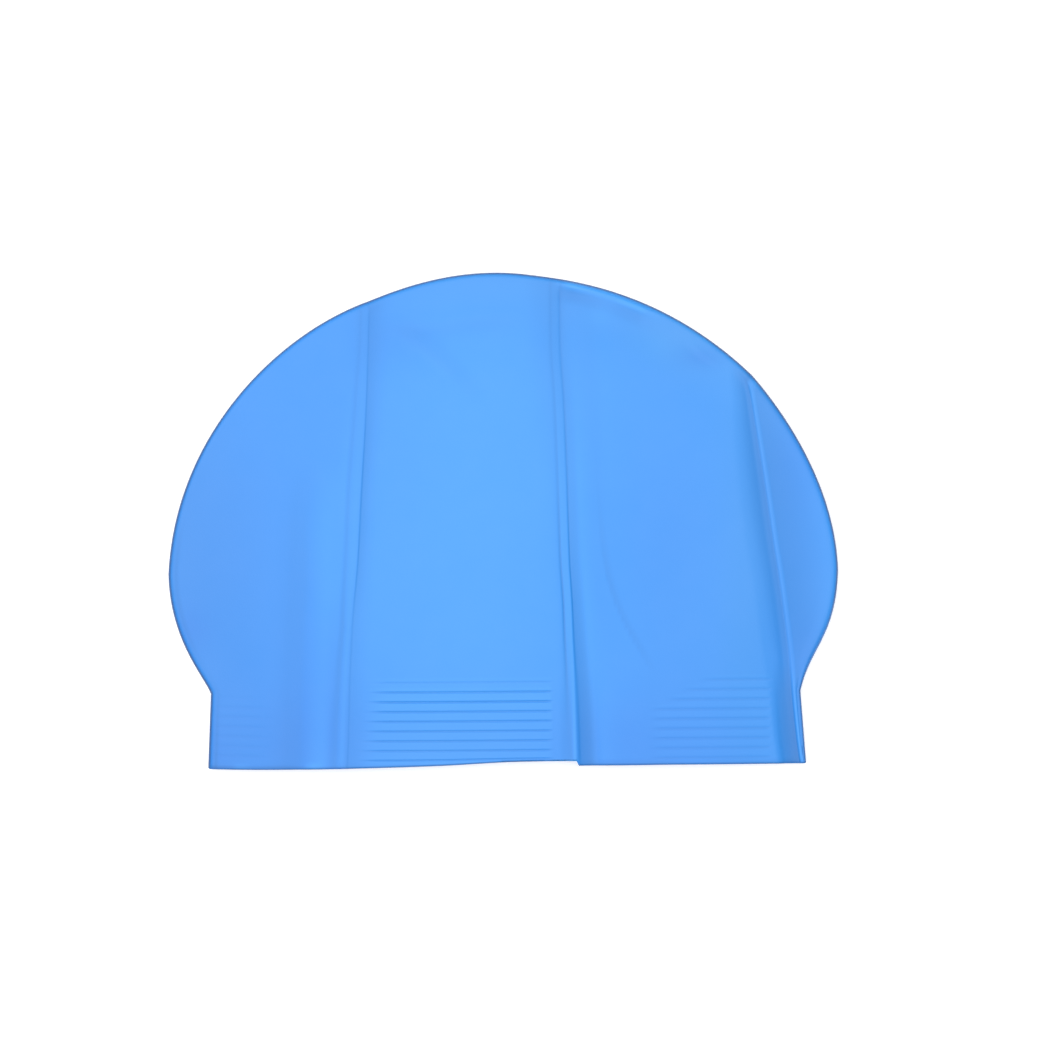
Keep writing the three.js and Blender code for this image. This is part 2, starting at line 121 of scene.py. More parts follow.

# Creases from left to right. `path` gives the crease line's x at heights y, and `foot`, which of the
# forms in `section` it has there, counted from the crown's form 0. In `section`, `columns` is how
# many mesh columns lead to the next row, `at` the distance to the right of the line, `rise` the
# height and `dark` the painted shade in the crease (a painted highlight, if negative), each but the
# first for every form.
CREASES = [
    {
        "path": [
            {"y": -82, "x": -50.8, "foot": 3.0},
            {"y": -72.3, "x": -50.5, "foot": 3.0},
            {"y": -52.5, "x": -50.0, "foot": 2.5},
            {"y": -32.7, "x": -49.05, "foot": 1.9},
            {"y": -12.9, "x": -47.35, "foot": 1.2},
            {"y": 6.9, "x": -46.35, "foot": 1.05},
            {"y": 39.9, "x": -44.6, "foot": 0.6},
            {"y": 66, "x": -44.0, "foot": 0.0},
            {"y": 78, "x": -43.8, "foot": 0.0},
        ],
        "section": [
            {"columns": 3, "at": (-9, -9, -9, -9),
             "rise": (0, 0, 0, 0), "dark": (0, 0, 0, 0)},
            {"columns": 3, "at": (-5, -6, -5.2, -6.6),
             "rise": (0, 0, 0, 0), "dark": (0.1, -0.1, 0, 0.1)},
            {"columns": 3, "at": (-3.6, -5.0, -4.2, -5.2),
             "rise": (-0.04, -0.04, -0.05, -0.1), "dark": (0.2, 0.1, 0.2, 0.25)},
            {"columns": 3, "at": (-2.8, -4.3, -3.3, -4.4),
             "rise": (-0.08, -0.1, -0.14, -0.14), "dark": (0.35, 0.2, 0.38, 0.3)},
            {"columns": 3, "at": (-2.2, -3.5, -2.5, -3.5),
             "rise": (-0.02, -0.02, -0.02, -0.02), "dark": (0.25, 0, 0.12, 0.05)},
            {"columns": 3, "at": (-1.3, -1.7, -1.5, -2.1),
             "rise": (0, 0.08, 0.1, 0.1), "dark": (0.2, -0.1, -0.05, -0.15)},
            {"columns": 3, "at": (-0.5, -0.6, -0.6, -0.6),
             "rise": (-0.05, 0.05, 0.04, 0.04), "dark": (0.25, 0, 0.1, 0.15)},
            {"columns": 3, "at": (0, 0, 0, 0),
             "rise": (-0.18, -0.18, -0.1, -0.1), "dark": (0.45, 0.35, 0.3, 0.25)},
            {"columns": 4, "at": (0.7, 0.6, 0.6, 0.6),
             "rise": (-0.26, -0.28, -0.14, -0.14), "dark": (0.38, 0.3, 0.18, 0.15)},
            {"columns": 4, "at": (3, 2.6, 3.2, 3.2),
             "rise": (-0.4, -0.42, -0.3, -0.3), "dark": (0.25, 0.15, 0.08, 0.1)},
            {"columns": 5, "at": (9, 6, 8, 8),
             "rise": (-0.1, -0.05, -0.1, -0.1), "dark": (0, -0.03, 0, 0)},
            {"columns": 0, "at": (15, 15, 15, 15),
             "rise": (0, 0, 0, 0), "dark": (0, 0, 0, 0)},
        ],
    },
    {
        "path": [
            {"y": -82, "x": 25.0, "foot": 3.0},
            {"y": -72, "x": 24.8, "foot": 2.95},
            {"y": -59, "x": 24.4, "foot": 2.7},
            {"y": -49.2, "x": 24.0, "foot": 2.4},
            {"y": -39.3, "x": 23.45, "foot": 2.2},
            {"y": -26, "x": 22.85, "foot": 1.95},
            {"y": -12.9, "x": 22.05, "foot": 1.6},
            {"y": 13.5, "x": 21.2, "foot": 1.0},
            {"y": 39.9, "x": 20.1, "foot": 0.45},
            {"y": 60, "x": 18.9, "foot": 0.1},
            {"y": 73, "x": 18.8, "foot": 0.0},
            {"y": 80, "x": 18.8, "foot": 0.0},
        ],
        "section": [
            {"columns": 3, "at": (-13, -10, -9, -9),
             "rise": (0, 0, 0, 0), "dark": (0, 0, 0, 0)},
            {"columns": 3, "at": (-8, -7, -6, -6.5),
             "rise": (-0.04, -0.02, 0, 0.05), "dark": (0.12, 0, 0, 0)},
            {"columns": 3, "at": (-4.2, -4.2, -3.7, -4.8),
             "rise": (-0.12, -0.12, -0.15, -0.1), "dark": (0.22, 0.1, 0.05, 0.15)},
            {"columns": 3, "at": (-3.2, -3.2, -3, -3.3),
             "rise": (-0.2, -0.25, -0.4, -0.25), "dark": (0.42, 0.42, 0.8, 0.25)},
            {"columns": 4, "at": (-2.4, -2.5, -2.4, -2.5),
             "rise": (-0.26, -0.26, -0.26, -0.3), "dark": (0.28, 0, 0, 0.35)},
            {"columns": 3, "at": (-0.8, -0.7, -0.6, -1.2),
             "rise": (-0.4, -0.38, -0.3, -0.22), "dark": (0.25, 0.05, -0.1, -0.35)},
            {"columns": 3, "at": (0, 0, 0, 0),
             "rise": (-0.55, -0.58, -0.65, -0.6), "dark": (0.5, 0.65, 0.5, 0.2)},
            {"columns": 5, "at": (0.6, 0.5, 0.45, 0.5),
             "rise": (-0.5, -0.5, -0.75, -0.85), "dark": (0.35, 0.3, 0.45, 0.5)},
            {"columns": 3, "at": (2, 2.2, 2.8, 3.3),
             "rise": (-0.4, -0.4, -1.1, -1.5), "dark": (0.2, 0.2, 0.22, 0.62)},
            {"columns": 5, "at": (4.2, 4, 4.5, 5.6),
             "rise": (-0.3, -0.3, -1.2, -1.75), "dark": (0.15, -0.05, -0.1, 0.12)},
            {"columns": 14, "at": (9, 9, 9.5, 8.5),
             "rise": (-0.1, -0.1, -0.7, -1.2), "dark": (0.12, 0.12, 0.1, -0.15)},
            {"columns": 0, "at": (15, 15, 22, 26),
             "rise": (0, 0, 0, 0), "dark": (0, 0, 0, 0)},
        ],
    },
    {
        "path": [
            {"y": -82, "x": 98.8, "foot": 3.0},
            {"y": -76.8, "x": 98.2, "foot": 3.0},
            {"y": -71.5, "x": 97.5, "foot": 2.95},
            {"y": -58.7, "x": 96.2, "foot": 2.7},
            {"y": -45.6, "x": 95.2, "foot": 2.0},
            {"y": -32.5, "x": 93.6, "foot": 1.6},
            {"y": -19.4, "x": 91.8, "foot": 1.3},
            {"y": -6.3, "x": 89.7, "foot": 1.1},
            {"y": 6.9, "x": 87.8, "foot": 0.95},
            {"y": 20, "x": 85.8, "foot": 0.75},
            {"y": 33.1, "x": 83.7, "foot": 0.45},
            {"y": 41.3, "x": 82.3, "foot": 0.2},
            {"y": 52, "x": 80.4, "foot": 0.0},
        ],
        "section": [
            {"columns": 5, "at": (-9, -15, -13, -12.5),
             "rise": (0, 0, 0, 0), "dark": (0, 0, 0, 0)},
            {"columns": 4, "at": (-6.5, -11, -10, -8.6),
             "rise": (0, 0, 0, -0.1), "dark": (0, 0, 0, -0.05)},
            {"columns": 4, "at": (-4.3, -7.6, -7.4, -7.2),
             "rise": (-0.15, -0.25, -0.2, -0.35), "dark": (0.2, 0.12, 0, 0.05)},
            {"columns": 4, "at": (-2.8, -5, -4.8, -5.6),
             "rise": (-0.35, -0.6, -0.5, -0.9), "dark": (0.45, 0.4, 0.12, 0.6)},
            {"columns": 4, "at": (-1.9, -2.6, -2.8, -2.5),
             "rise": (-0.5, -0.95, -0.9, -1.4), "dark": (0.62, 0.65, 0.4, 1.1)},
            {"columns": 4, "at": (-1.1, -1.25, -1.3, -1.1),
             "rise": (-0.48, -0.95, -0.98, -1.45), "dark": (0.85, 0.85, 0.62, 1.3)},
            {"columns": 3, "at": (-0.65, -0.75, -0.8, -0.6),
             "rise": (-0.3, -0.75, -0.85, -1.15), "dark": (0.4, 0.4, 0.3, 0.4)},
            {"columns": 3, "at": (-0.2, -0.25, -0.25, -0.15),
             "rise": (-0.08, -0.52, -0.64, -0.85), "dark": (0.12, 0.02, 0, -0.3)},
            {"columns": 3, "at": (0.35, 0.4, 0.45, 0.25),
             "rise": (-0.06, -0.46, -0.58, -0.8), "dark": (0.2, 0.05, 0, -0.15)},
            {"columns": 0, "at": (1.1, 1.2, 1.2, 0.6),
             "rise": (-0.1, -0.5, -0.62, -0.85), "dark": (0.5, 0.48, 0.38, 0.55)},
        ],
    },
]
FLAP_REACH = 20.0  # right of the last crease, its lift levels out over this distance

# The first groove's line across the band. The others follow it, one pitch apart.
FIRST_GROOVE = [
    {"x": -97, "y": -77.2},
    {"x": -70, "y": -77.9},
    {"x": -45, "y": -78.8},
    {"x": 16, "y": -78.4},
    {"x": 50, "y": -77.9},
    {"x": 100, "y": -77.7},
]

# How deep the grooves are, counted up from the mouth
GROOVE_FADE = [
    {"count": 0, "left": 0.8, "middle": 0.8, "right": 0.8},
    {"count": 3, "left": 1.0, "middle": 0.9, "right": 1.0},
    {"count": 5, "left": 0.8, "middle": 1.0, "right": 1.0},
    {"count": 6, "left": 0.4, "middle": 1.2, "right": 1.0},
    {"count": 7, "left": 0.0, "middle": 1.0, "right": 0.9},
    {"count": 8, "left": 0.0, "middle": 0.45, "right": 0.8},
]

# Groups of grooves in the band. `fade` names the group's column in GROOVE_FADE. From groove `start`
# up, each groove begins further right than the last by `lean`. `wide` is the share of their width.
GROOVES = [
    {"fade": "left", "from": -96, "to": -74, "lean": 0, "start": 0,
     "fade_left": 2, "fade_right": 9, "depth": 0.2, "wide": 2.2},
    {"fade": "middle", "from": -49.5, "to": 16.3, "lean": 0.5, "start": 0,
     "fade_left": 9, "fade_right": 0.8, "depth": 1.1, "wide": 0.9},
    {"fade": "right", "from": 47, "to": 88.6, "lean": 5.5, "start": 5,
     "fade_left": 6, "fade_right": 1.5, "depth": 0.48, "wide": 2.0},
]

# Broad painted shade over the rubber: how much darker its colour is painted at the middle of each, and
# painted light where the share is negative
PAINTED_SHADES = [
    {"x": -100, "y": -30, "across": 45, "along": 70, "share": 0.10},
    {"x": -100, "y": 5, "across": 55, "along": 100, "share": 0.125},
    {"x": -76, "y": -80, "across": 30, "along": 26, "share": 0.09},
    {"x": -52, "y": 48, "across": 20, "along": 32, "share": 0.05},
    {"x": -34, "y": 59, "across": 12, "along": 9, "share": 0.05},
    {"x": 0, "y": 82, "across": 90, "along": 26, "share": 0.07},
    {"x": 54, "y": -8, "across": 34, "along": 75, "share": 0.135},
    {"x": 60, "y": -80, "across": 36, "along": 24, "share": 0.09},
    {"x": -8, "y": -74, "across": 58, "along": 17, "share": 0.08},
    {"x": 100, "y": -10, "across": 14, "along": 50, "share": 0.1},
    {"x": 66, "y": 54, "across": 7, "along": 3.6, "share": 0.09},
    {"x": 95, "y": 22, "across": 12, "along": 18, "share": 0.07},
    {"x": 51, "y": 58, "across": 6, "along": 5, "share": -0.03},
    {"x": 31, "y": 67.5, "across": 5, "along": 3, "share": -0.04},
    {"x": 0, "y": -82, "across": 130, "along": 36, "share": 0.045},
    {"x": -70, "y": -75, "across": 6, "along": 25, "share": 0.02},
    {"x": -60, "y": -50, "across": 8, "along": 28, "share": 0.08},
    {"x": 38, "y": -72, "across": 8, "along": 14, "share": 0.05},
    {"x": -103, "y": -36, "across": 6, "along": 8, "share": 0.06},
    {"x": -96, "y": -80, "across": 8, "along": 14, "share": 0.06},
    {"x": 100, "y": -45, "across": 9, "along": 14, "share": 0.08},
]

# Where the rubber's colour is painted greyer and paler, as a painted whitish sheen at the crown and the top
# right, or more vivid if its share is negative
VEILS = [
    {"x": -105, "y": -15, "across": 25, "along": 50, "share": 0.55},
    {"x": -85, "y": -80, "across": 35, "along": 25, "share": 0.35},
    {"x": 62, "y": 62, "across": 26, "along": 14, "share": 0.5},
    {"x": 0, "y": 80, "across": 40, "along": 12, "share": 0.3},
    {"x": -15, "y": -76, "across": 28, "along": 10, "share": 0.2},
    {"x": 80, "y": -10, "across": 9, "along": 60, "share": 0.25},
    {"x": 33, "y": -20, "across": 20, "along": 56, "share": -0.7},
    {"x": -58, "y": -30, "across": 14, "along": 50, "share": -0.35},
    {"x": 98, "y": -30, "across": 9, "along": 25, "share": -0.15},
]

# Painted shade over the last millimetres above the mouth edge, and a painted highlight where it is negative
LIP_SHADE = [
    {"x": -97, "dark": 0.5},
    {"x": -90, "dark": 0.1},
    {"x": -87, "dark": -0.35},
    {"x": -82, "dark": 0.0},
    {"x": -73, "dark": 0.45},
    {"x": -67, "dark": 0.1},
    {"x": -62.5, "dark": -0.5},
    {"x": -58, "dark": 0.0},
    {"x": -50, "dark": 0.2},
    {"x": -42, "dark": 0.0},
    {"x": 22, "dark": 0.0},
    {"x": 32, "dark": 0.45},
    {"x": 50, "dark": 0.45},
    {"x": 62, "dark": 0.1},
    {"x": 75, "dark": 0.3},
    {"x": 100, "dark": 0.3},
]
LIP_REACH = 2.8
LIP_SHIFT_REACH = 3.0  # the upper layer gives way to the rounded lip over this height
LIP_EDGE_SHADE = 0.9  # how much of the outline's painted shade the middle of the lip has
LIP_EDGE_SHADE_START = 0.35  # and its outer border

# A faint line of painted shade along the moulding junction, down the left edge just inside it
RIM_SHADE_LINE = [
    {"y": -82, "dark": 0.6},
    {"y": -72, "dark": 0.45},
    {"y": -60, "dark": 0.3},
    {"y": -50, "dark": 0.1},
    {"y": -33, "dark": 0.4},
    {"y": -14, "dark": 0.4},
    {"y": 3, "dark": 0.0},
]
RIM_LINE_DEPTH = 2.6
RIM_LINE_WIDTH = 0.6

# The narrow painted shade along the outline fades out over a depth that is wider on the left side
EDGE_REACH = 1.0
EDGE_REACH_LEFT = 1.2
EDGE_FULL = 0.3  # it is full over this share of its reach
EDGE_LEFT_START = 40.0  # how far left of the middle the left side's reach comes in
EDGE_LEFT_END = 90.0
EDGE_LEFT_TOP_START = 10.0  # and between which heights it goes
EDGE_LEFT_TOP_END = 50.0

# How strong that painted shade is down the right side, from `EDGE_RIGHT_X` on, where it is thin at the waist
EDGE_RIGHT_X = 60.0
EDGE_RIGHT = [
    {"y": -82, "share": 0.7},
    {"y": -54, "share": 0.7},
    {"y": -46, "share": 0.35},
    {"y": -39, "share": 0.35},
    {"y": -22, "share": 1},
    {"y": 0, "share": 1},
]

# Soft painted shade just inside the outline, and painted light where its value is negative, where the fold
# catches the light
SOFT_EDGE_SHADE = [
    {"x": -111, "dark": 0.1},
    {"x": -60, "dark": 0.0},
    {"x": 0, "dark": 0.1},
    {"x": 30, "dark": -0.1},
    {"x": 111, "dark": -0.05},
]
SOFT_EDGE_START = 0.4
SOFT_EDGE_END = 2.8

# Soft forms of the upper layer, each a smooth swell (or a hollow, if its rise is negative)
SWELLS = [
    {"x": -66, "y": -46, "across": 7, "along": 40, "rise": -0.55},
    {"x": -82, "y": 10, "across": 16, "along": 18, "rise": -0.35},
    {"x": -20, "y": 56, "across": 26, "along": 9, "rise": -0.35},
    {"x": 42, "y": 63, "across": 16, "along": 7, "rise": -0.5},
    {"x": 45, "y": -30, "across": 20, "along": 22, "rise": -0.3},
]

# Wrinkles. Each follows its points with a size that fades along it. `section` gives its rise and its
# painted shade (`dark`, a painted highlight if negative) at distances to the right of the way it runs.
WRINKLES = {
    "arc": {
        "points": [
            {"x": 29.5, "y": 30, "size": 0},
            {"x": 31.0, "y": 5, "size": 0.2},
            {"x": 31.8, "y": -5.2, "size": 0.45},
            {"x": 33.4, "y": -16, "size": 0.8},
            {"x": 35.5, "y": -24, "size": 1},
            {"x": 38.2, "y": -31, "size": 1},
            {"x": 41.6, "y": -37.6, "size": 1},
            {"x": 45.3, "y": -44, "size": 0.7},
            {"x": 49.5, "y": -51, "size": 0},
        ],
        "section": [
            {"away": -3, "rise": 0, "dark": 0},
            {"away": -0.5, "rise": -0.08, "dark": 0.26},
            {"away": 0.3, "rise": 0.1, "dark": -0.05},
            {"away": 5, "rise": 0, "dark": 0},
        ],
    },
    "diagonal": {
        "points": [
            {"x": -39.5, "y": 66, "size": 0},
            {"x": -32, "y": 60.5, "size": 0.9},
            {"x": -24, "y": 54.5, "size": 1},
            {"x": -15, "y": 45.5, "size": 0.7},
            {"x": -8, "y": 38, "size": 0},
        ],
        "section": [
            {"away": -7, "rise": 0, "dark": 0},
            {"away": -3.5, "rise": 0.1, "dark": 0.1},
            {"away": -0.6, "rise": 0.2, "dark": 0.12},
            {"away": 1.2, "rise": -0.1, "dark": 0},
            {"away": 7, "rise": 0, "dark": 0},
        ],
    },
    "crown": {
        "points": [
            {"x": -42, "y": 64.5, "size": 0},
            {"x": -24, "y": 63.8, "size": 1},
            {"x": -9, "y": 66.0, "size": 1},
            {"x": 8, "y": 66.5, "size": 0},
        ],
        "section": [
            {"away": -6, "rise": 0, "dark": 0},
            {"away": -1.2, "rise": 0.14, "dark": 0},
            {"away": 1.2, "rise": -0.1, "dark": 0.1},
            {"away": 7, "rise": 0, "dark": 0},
        ],
    },
    # the crescent's ridge carries a painted highlight, with painted shade below it
    "crescent": {
        "points": [
            {"x": 17, "y": 78.3, "size": 0},
            {"x": 20, "y": 77.8, "size": 0.8},
            {"x": 23.4, "y": 77.1, "size": 1.5},
            {"x": 29.8, "y": 75.5, "size": 0.9},
            {"x": 35.5, "y": 73.7, "size": 0.6},
            {"x": 39, "y": 72.4, "size": 0.9},
            {"x": 45, "y": 69.8, "size": 1},
            {"x": 48.5, "y": 68.2, "size": 0.3},
            {"x": 54.5, "y": 64.7, "size": 0},
        ],
        "section": [
            {"away": -1.5, "rise": 0, "dark": 0},
            {"away": -0.5, "rise": 0.3, "dark": -0.45},
            {"away": 0.4, "rise": 0.3, "dark": -0.45},
            {"away": 1.3, "rise": 0, "dark": 0.1},
            {"away": 2.6, "rise": -0.12, "dark": 0.25},
            {"away": 4.2, "rise": -0.1, "dark": 0.2},
            {"away": 6.5, "rise": 0, "dark": 0},
        ],
    },
    "shoulder": {
        "points": [
            {"x": 60, "y": 60, "size": 0},
            {"x": 65, "y": 54.5, "size": 1},
            {"x": 72, "y": 50.5, "size": 0},
        ],
        "section": [
            {"away": -3, "rise": 0, "dark": 0},
            {"away": -0.6, "rise": 0.15, "dark": 0},
            {"away": 0.8, "rise": -0.12, "dark": 0.02},
            {"away": 3.5, "rise": 0, "dark": 0},
        ],
    },
    "left": {
        "points": [
            {"x": -62, "y": 22, "size": 0},
            {"x": -64.5, "y": 7, "size": 0.6},
            {"x": -65.5, "y": -5, "size": 0.9},
            {"x": -65.5, "y": -20, "size": 1},
            {"x": -66.7, "y": -33, "size": 1},
            {"x": -67.4, "y": -52, "size": 1},
            {"x": -67.6, "y": -70, "size": 1.2},
            {"x": -67.8, "y": -80, "size": 1.3},
        ],
        "section": [
            {"away": -14, "rise": 0, "dark": 0},
            {"away": -8, "rise": 0.14, "dark": -0.18},
            {"away": -3.2, "rise": 0.0, "dark": -0.02},
            {"away": 0, "rise": -0.2, "dark": 0.22},
            {"away": 3, "rise": -0.2, "dark": 0.22},
            {"away": 6, "rise": -0.1, "dark": 0.1},
            {"away": 11, "rise": 0, "dark": 0},
        ],
    },
}
WRINKLE_STEPS = 60
WRINKLE_FADE = 0.8  # wrinkles fade out over this depth inside the outline
DEEPEST_SHADE = 1.3  # the deepest painted shade of a crease

# Mesh fineness
RIM_STEPS = 9
LIP_STEPS = 6
PANEL_COLUMNS = [38, 44, 34, 16]
CROWN_ROWS = 112
BAND_LANDS = 3
GROOVE_ROWS = 6
LINING_BAND_ROWS = 6
LINING_CROWN_ROWS = 16
HUB_Y = -30.0


def curve_through(at, out, value, open_ends=False):
    """A smooth curve through points that never overshoots them, level at its ends or open there."""
    at = np.asarray(at, float)
    out = np.asarray(out, float)
    step = np.diff(at)
    grade = np.diff(out) / step
    slope = np.zeros(len(at))
    before, after = grade[:-1], grade[1:]
    same = before * after > 0
    mean = np.zeros(len(before))
    mean[same] = 2 * before[same] * after[same] / (before[same] + after[same])
    slope[1:-1] = mean
    if open_ends:
        slope[0], slope[-1] = grade[0], grade[-1]
    held = np.clip(value, at[0], at[-1])
    i = np.clip(np.searchsorted(at, held, side="right") - 1, 0, len(step) - 1)
    t = (held - at[i]) / step[i]
    ease = t * t * (3 - 2 * t)
    bend = slope[i] * t * (1 - t) ** 2 - slope[i + 1] * t * t * (1 - t)
    return out[i] * (1 - ease) + out[i + 1] * ease + step[i] * bend


def through(table, in_key, out_key, value):
    return curve_through([row[in_key] for row in table], [row[out_key] for row in table], value)


def smooth(value, low, high):
    t = np.clip((np.asarray(value, float) - low) / (high - low), 0, 1)
    return t * t * (3 - 2 * t)


def blend(a, b, share):
    return a + (b - a) * share


def sample_outline():
    """The outline's samples and, for each, its inward direction."""
    rows = []
    for start, end in zip(OUTLINE, OUTLINE[1:]):
        a = np.array([start["x"], start["y"]], float)
        d = np.array([end["x"], end["y"]], float)
        leave, reach = math.radians(start["out"]), math.radians(end["into"])
        b = a + start["ahead"] * np.array([math.cos(leave), math.sin(leave)])
        c = d - end["back"] * np.array([math.cos(reach), math.sin(reach)])
        if start["ahead"] == 0:
            b, c = blend(a, d, 1 / 3), blend(a, d, 2 / 3)
        t = np.linspace(0, 1, DENSE_STEPS)[:, None]
        dense = a * (1 - t) ** 3 + 3 * b * t * (1 - t) ** 2 + 3 * c * t * t * (1 - t) + d * t**3
        run = np.concatenate([[0], np.cumsum(np.hypot(*np.diff(dense, axis=0).T))])
        even = np.linspace(0, run[-1], OUTLINE_STEPS + 1)
        rows.append(np.stack([np.interp(even, run, dense[:, k]) for k in (0, 1)], 1)[1 if rows else 0 :])
    points = np.concatenate(rows)
    ahead = np.concatenate([points[1:], points[-1:]])
    behind = np.concatenate([points[:1], points[:-1]])
    way = ahead - behind
    inward = np.stack([way[:, 1], -way[:, 0]], 1)
    inward /= np.hypot(*inward.T)[:, None]
    level = np.stack([-np.sign(points[:, 0]), np.zeros(len(points))], 1)
    square = 1 - smooth(points[:, 1], MOUTH_LEVEL + LEVEL_HEIGHT, MOUTH_LEVEL + BAND_HEIGHT)
    inward = blend(inward, level, square[:, None])
    inward /= np.hypot(*inward.T)[:, None]
    return points, inward


OUTLINE_POINTS, OUTLINE_INWARD = sample_outline()
STATIONS = np.arange(len(OUTLINE_POINTS))


def inside(station, depth):
    """Points at a depth inside the outline."""
    x, y = (np.interp(station, STATIONS, OUTLINE_POINTS[:, k]) for k in (0, 1))
    nx, ny = (np.interp(station, STATIONS, OUTLINE_INWARD[:, k]) for k in (0, 1))
    size = np.hypot(nx, ny)
    return x + nx / size * depth, y + ny / size * depth


def depth_of(x, y):
    """How far points lie inside the outline."""
    a, b = OUTLINE_POINTS[:-1], OUTLINE_POINTS[1:]
    way = b - a
    size = (way**2).sum(1)
    flat_x, flat_y = np.ravel(x), np.ravel(y)
    nearest = np.empty(len(flat_x))
    chunk = 4000
    for i in range(0, len(flat_x), chunk):
        px, py = flat_x[i : i + chunk, None], flat_y[i : i + chunk, None]
        t = np.clip(((px - a[:, 0]) * way[:, 0] + (py - a[:, 1]) * way[:, 1]) / size, 0, 1)
        away = np.hypot(px - a[:, 0] - t * way[:, 0], py - a[:, 1] - t * way[:, 1])
        nearest[i : i + chunk] = away.min(1)
    return nearest.reshape(np.shape(x))


FLAT_X, FLAT_Y = inside(STATIONS, FOLD_RADIUS)
CROWN_TOP = int(np.argmax(FLAT_Y))


def flat_depth(station):
    """How far inside the outline the flat of the upper layer ends, at stations on the outline."""
    x, y = (np.interp(station, STATIONS, OUTLINE_POINTS[:, k]) for k in (0, 1))
    tight = (x > 0) * (1 - smooth(y, FLAP_INSET_END, FLAP_INSET_END + FLAP_INSET_FADE))
    return FOLD_RADIUS - (FOLD_RADIUS - FLAP_INSET) * tight


def side_station(sign, y):
    """The station on the left or right side where the flat's border is at height y."""
    if sign < 0:
        return np.interp(y, FLAT_Y[: CROWN_TOP + 1], STATIONS[: CROWN_TOP + 1])
    return np.interp(y, FLAT_Y[CROWN_TOP:][::-1], STATIONS[CROWN_TOP:][::-1])


def crown_station(line_x):
    """The station on the crown where the flat's border meets a line given as x of y."""
    crown = slice(int(side_station(-1, SIDE_TOP)), int(side_station(1, SIDE_TOP)) + 1)
    side = FLAT_X[crown] - line_x(FLAT_Y[crown])
    return np.interp(0, side, STATIONS[crown])


def mouth_y(x, layer):
    return through(MOUTH_EDGE, "x", layer, x)


def first_groove_y(x):
    return through(FIRST_GROOVE, "x", "y", x)


def band_y(x, rows):
    """The y at x of the band's rows. Each is a share of the way from the mouth edge up to the first
    groove's lower side, and then a distance above that."""
    mouth = mouth_y(x, "upper")
    start = first_groove_y(x) - GROOVE_ROOM
    return blend(mouth, start, rows["share"]) + rows["above"]


def band_rows(grooved):
    """The band's rows: many where the grooves are."""
    top = BAND_TOP + GROOVE_ROOM
    if not grooved:
        above = np.linspace(0, top, LINING_BAND_ROWS)
        return {"share": np.append(0, np.ones(len(above))), "above": np.append(0, above)}
    above = []
    for i in range(GROOVE_COUNT):
        middle = GROOVE_ROOM + i * GROOVE_PITCH
        above += list(middle + GROOVE_ROOM * np.linspace(-1, 1, GROOVE_ROWS + 1))
        lands = np.linspace(middle + GROOVE_ROOM, middle + GROOVE_PITCH - GROOVE_ROOM, BAND_LANDS + 1)
        above += list(lands[1:-1])
    above = np.array(above + [top])
    share = np.concatenate([MOUTH_ROWS, np.ones(len(above))])
    return {"share": share, "above": np.concatenate([np.zeros(len(MOUTH_ROWS)), above])}


class Column:
    """One column of the face from mouth to crown: its points, its station on the outline, and the
    rise and painted shade that its own crease gives each of its points."""

    def __init__(self, x, y, station, rise=None, dark=None):
        self.x, self.y, self.station = x, y, station
        self.rise = np.zeros(len(x)) if rise is None else rise
        self.dark = np.zeros(len(x)) if dark is None else dark


def side_column(sign, band, crown_rows):
    corner = OUTLINE_POINTS[0 if sign < 0 else -1, 0]
    low = side_station(sign, band_y(corner, band))
    top = side_station(sign, SIDE_TOP)
    stations = np.concatenate([low, blend(low[-1], top, np.arange(1, crown_rows + 1) / crown_rows)])
    x, y = inside(stations, flat_depth(stations))
    column = Column(x, y, stations[-1])
    column.stations = stations
    return column


def section_at(crease, row, y):
    """Offset, rise and darkness of a crease's section row, a fraction between rows, at heights y."""
    table = crease["section"]
    rows = np.arange(len(table))
    foot = through(crease["path"], "y", "foot", y)
    forms = range(len(table[0]["at"]))
    values = []
    for key in ("at", "rise", "dark"):
        each = [curve_through(rows, [r[key][k] for r in table], row, key == "at") for k in forms]
        values.append(np.interp(foot, forms, each))
    return values


def crease_column(crease, row, band, crown_rows):
    def line_x(y):
        return through(crease["path"], "y", "x", y) + section_at(crease, row, y)[0]

    station = crown_station(line_x)
    top_x, top_y = inside(station, FOLD_RADIUS)
    low = band_y(line_x(MOUTH_LEVEL), band)
    y = np.concatenate([low, blend(low[-1], top_y, np.arange(1, crown_rows + 1) / crown_rows)])
    x = line_x(y)
    x[-1] = top_x
    _, rise, dark = section_at(crease, row, y)
    return Column(x, y, station, rise, dark)


def fill_column(before, after, share, band, crown_rows):
    station = blend(before.station, after.station, share)
    top_x, top_y = inside(station, FOLD_RADIUS)
    x = blend(before.x, after.x, share)
    y = blend(before.y, after.y, share)
    count = len(x) - crown_rows
    rise = np.maximum(0, np.arange(len(x)) + 1 - count) / crown_rows
    x = x + (top_x - x[-1]) * rise
    y = y + (top_y - y[-1]) * rise
    y[:count] = band_y(x[:count], band)
    return Column(x, y, station)


def face_columns(band, crown_rows):
    guides = [[side_column(-1, band, crown_rows)]]
    for crease in CREASES:
        rows = [
            i + k / row["columns"]
            for i, row in enumerate(crease["section"])
            for k in range(row["columns"])
        ]
        rows.append(len(crease["section"]) - 1)
        guides.append([crease_column(crease, row, band, crown_rows) for row in rows])
    guides.append([side_column(1, band, crown_rows)])
    columns = list(guides[0])
    for panel, count in enumerate(PANEL_COLUMNS):
        before, after = columns[-1], guides[panel + 1][0]
        is_flap = panel == len(PANEL_COLUMNS) - 1
        for i in range(1, count + 1):
            column = fill_column(before, after, i / (count + 1), band, crown_rows)
            if is_flap:
                left = 1 - smooth(column.x - before.x, 0, FLAP_REACH)
                column.rise, column.dark = before.rise * left, before.dark * left
            columns.append(column)
        if is_flap:
            left = 1 - smooth(after.x - before.x, 0, FLAP_REACH)
            after.rise, after.dark = before.rise * left, before.dark * left
        columns += guides[panel + 1]
    return columns


